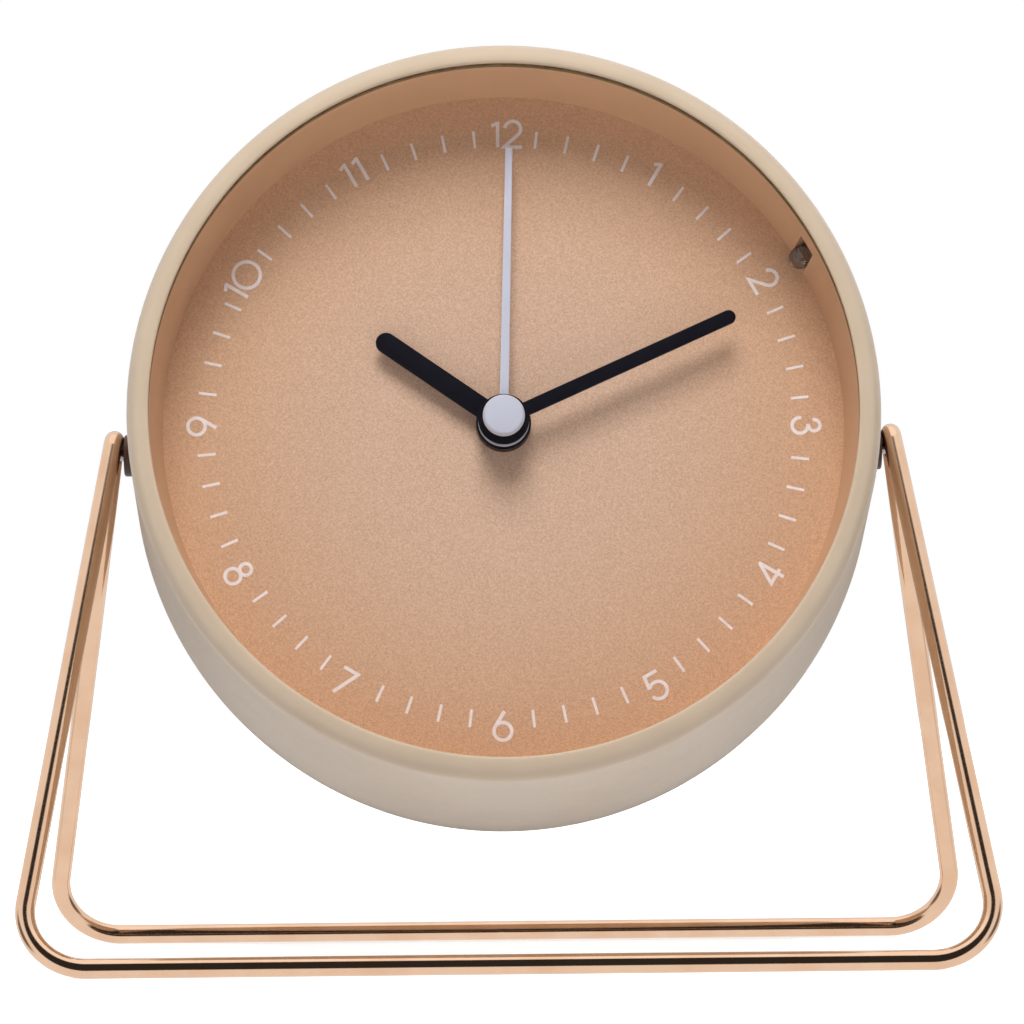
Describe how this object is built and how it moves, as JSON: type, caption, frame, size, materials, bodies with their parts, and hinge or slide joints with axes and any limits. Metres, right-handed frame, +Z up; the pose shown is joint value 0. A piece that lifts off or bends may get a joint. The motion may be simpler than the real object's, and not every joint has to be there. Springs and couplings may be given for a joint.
{
  "type": "bedside alarm clock",
  "caption": "Round battery alarm clock in a metal drum that tilts between the sides of a bent wire stand, with hands, setting knobs and a light key.",
  "frame": {"origin": "centre of the footprint, on the surface that the stand rests on", "axes": "+Z up, the dial faces -Y, +X to the right of someone who reads the dial"},
  "size_m": [0.1294, 0.0772, 0.1232],
  "materials": {
    "copper_wire": "bright copper plate",
    "steel": "plain",
    "black_plastic": "fine grain",
    "sand_paint": "satin powder coat",
    "clear_lens": "polished",
    "dark_rubber": "matt",
    "sand_ring": "fine grain",
    "dial_paint": "satin with fine metal flake",
    "lamp_resin": "polished",
    "black_hand": "satin black paint",
    "grey_hand": "satin grey paint",
    "white_gear": "moulded",
    "white_moulding": "moulded",
    "magnet": "sintered",
    "stator_iron": "stamped",
    "copper_winding": "enamelled",
    "board_green": "solder mask",
    "chip_resin": "cast",
    "crystal_metal": "plated",
    "buzzer_brass": "plain",
    "buzzer_disc": "fired",
    "cell_case": "printed sleeve",
    "contact_steel": "nickel plated",
    "back_plastic": "fine grain"
  },
  "bodies": {
    "stand": {"stand_wire": "copper_wire", "pivot_pins": "steel", "pivot_retainers": "steel", "pivot_disc_springs": "steel"},
    "head": {"case_shell": "sand_paint", "case_tabs": "steel", "pivot_bushes": "black_plastic", "front_lens": "clear_lens", "lens_gasket": "dark_rubber", "inner_ring": "sand_ring", "dial_plate": "dial_paint", "alarm_light": "lamp_resin", "alarm_light_leads": "steel", "chassis_plate": "white_moulding", "gear_posts": "steel", "movement_cover": "white_moulding", "movement_screws": "steel", "stator_plate": "stator_iron", "coil_bobbin": "white_moulding", "coil_winding": "copper_winding", "circuit_board": "board_green", "board_screws": "steel", "timing_chip": "chip_resin", "crystal_can": "crystal_metal", "light_switch": "black_plastic", "slide_switch": "black_plastic", "buzzer_plate": "buzzer_brass", "buzzer_ceramic": "buzzer_disc", "buzzer_pins": "steel", "battery_cell": "cell_case", "positive_contact": "contact_steel", "negative_contact": "contact_steel", "back_cover": "back_plastic", "cover_screws": "steel"},
    "minute_work": {"minute_hand": "black_hand", "cannon_pinion": "white_gear"},
    "hour_work": {"hour_hand": "black_hand", "hour_wheel": "white_gear"},
    "motion_work": {"motion_wheel": "white_gear"},
    "time_setter": {"time_setting_shaft": "white_gear", "time_knob": "back_plastic"},
    "alarm_work": {"alarm_hand": "grey_hand", "alarm_wheel": "white_gear"},
    "alarm_setter": {"alarm_setting_shaft": "white_gear", "alarm_knob": "back_plastic"},
    "rotor": {"rotor_magnet": "magnet", "rotor_pinion": "white_gear"},
    "fifth_wheel": {"fifth_wheel": "white_gear"},
    "seconds_work": {"seconds_wheel": "white_gear", "seconds_cap": "grey_hand"},
    "third_wheel": {"third_wheel": "white_gear"},
    "centre_wheel": {"centre_wheel": "white_gear"},
    "light_key": {"light_key": "back_plastic", "light_plunger": "back_plastic"},
    "alarm_slider": {"alarm_slider": "back_plastic"},
    "battery_door": {"battery_door": "back_plastic"}
  },
  "joints": [
    {"name": "head_tilt", "type": "hinge", "parent": "stand", "child": "head", "pos_m": [0, 0, 0.069], "axis": [1, 0, 0], "continuous": true},
    {"name": "minute_hand_turn", "type": "hinge", "parent": "head", "child": "minute_work", "pos_m": [0, -0.01541, 0.072], "axis": [0, 0.9816, -0.1908], "continuous": true},
    {"name": "hour_hand_turn", "type": "hinge", "parent": "head", "child": "hour_work", "pos_m": [0, -0.01541, 0.072], "axis": [0, 0.9816, -0.1908], "continuous": true},
    {"name": "motion_wheel_turn", "type": "hinge", "parent": "head", "child": "motion_work", "pos_m": [-0.00452, -0.009, 0.07984], "axis": [0, 0.9816, -0.1908], "continuous": true},
    {"name": "time_knob_turn", "type": "hinge", "parent": "head", "child": "time_setter", "pos_m": [-0.01435, 0.01725, 0.07285], "axis": [0, 0.9816, -0.1908], "continuous": true},
    {"name": "alarm_hand_turn", "type": "hinge", "parent": "head", "child": "alarm_work", "pos_m": [0, -0.01541, 0.072], "axis": [0, 0.9816, -0.1908], "continuous": true},
    {"name": "alarm_knob_turn", "type": "hinge", "parent": "head", "child": "alarm_setter", "pos_m": [0.01435, 0.01725, 0.07285], "axis": [0, 0.9816, -0.1908], "continuous": true},
    {"name": "rotor_turn", "type": "hinge", "parent": "head", "child": "rotor", "pos_m": [0.00955, -0.0084, 0.06091], "axis": [0, 0.9816, -0.1908], "continuous": true},
    {"name": "fifth_wheel_turn", "type": "hinge", "parent": "head", "child": "fifth_wheel", "pos_m": [0.00509, -0.00559, 0.0649], "axis": [0, 0.9816, -0.1908], "continuous": true},
    {"name": "seconds_turn", "type": "hinge", "parent": "head", "child": "seconds_work", "pos_m": [0, -0.0056, 0.07009], "axis": [0, 0.9816, -0.1908], "continuous": true},
    {"name": "third_wheel_turn", "type": "hinge", "parent": "head", "child": "third_wheel", "pos_m": [-0.00849, -0.00918, 0.06214], "axis": [0, 0.9816, -0.1908], "continuous": true},
    {"name": "centre_wheel_turn", "type": "hinge", "parent": "head", "child": "centre_wheel", "pos_m": [0, -0.00952, 0.07085], "axis": [0, 0.9816, -0.1908], "continuous": true},
    {"name": "light_key_press", "type": "slide", "parent": "head", "child": "light_key", "axis": [0, -0.9816, 0.1908], "range_m": [0, 0.0012], "stiffness_N_per_m": 800, "springref_m": -0.0003},
    {"name": "alarm_slider_slide", "type": "slide", "parent": "head", "child": "alarm_slider", "axis": [0, 0.1908, 0.9816], "range_m": [0, 0.004]},
    {"name": "battery_door_hinge", "type": "hinge", "parent": "head", "child": "battery_door", "pos_m": [0, 0.0094, 0.03244], "axis": [-1, 0, 0], "range_deg": [0, 90]}
  ],
  "couplings": [
    {"joint": "hour_hand_turn", "follows": "minute_hand_turn", "ratio": 0.083333},
    {"joint": "motion_wheel_turn", "follows": "minute_hand_turn", "ratio": -0.33333},
    {"joint": "time_knob_turn", "follows": "minute_hand_turn", "ratio": 1},
    {"joint": "alarm_knob_turn", "follows": "alarm_hand_turn", "ratio": -0.75},
    {"joint": "fifth_wheel_turn", "follows": "rotor_turn", "ratio": -0.16667},
    {"joint": "seconds_turn", "follows": "rotor_turn", "ratio": 0.033333},
    {"joint": "third_wheel_turn", "follows": "rotor_turn", "ratio": -0.0044444},
    {"joint": "centre_wheel_turn", "follows": "rotor_turn", "ratio": 0.00055556}
  ]
}
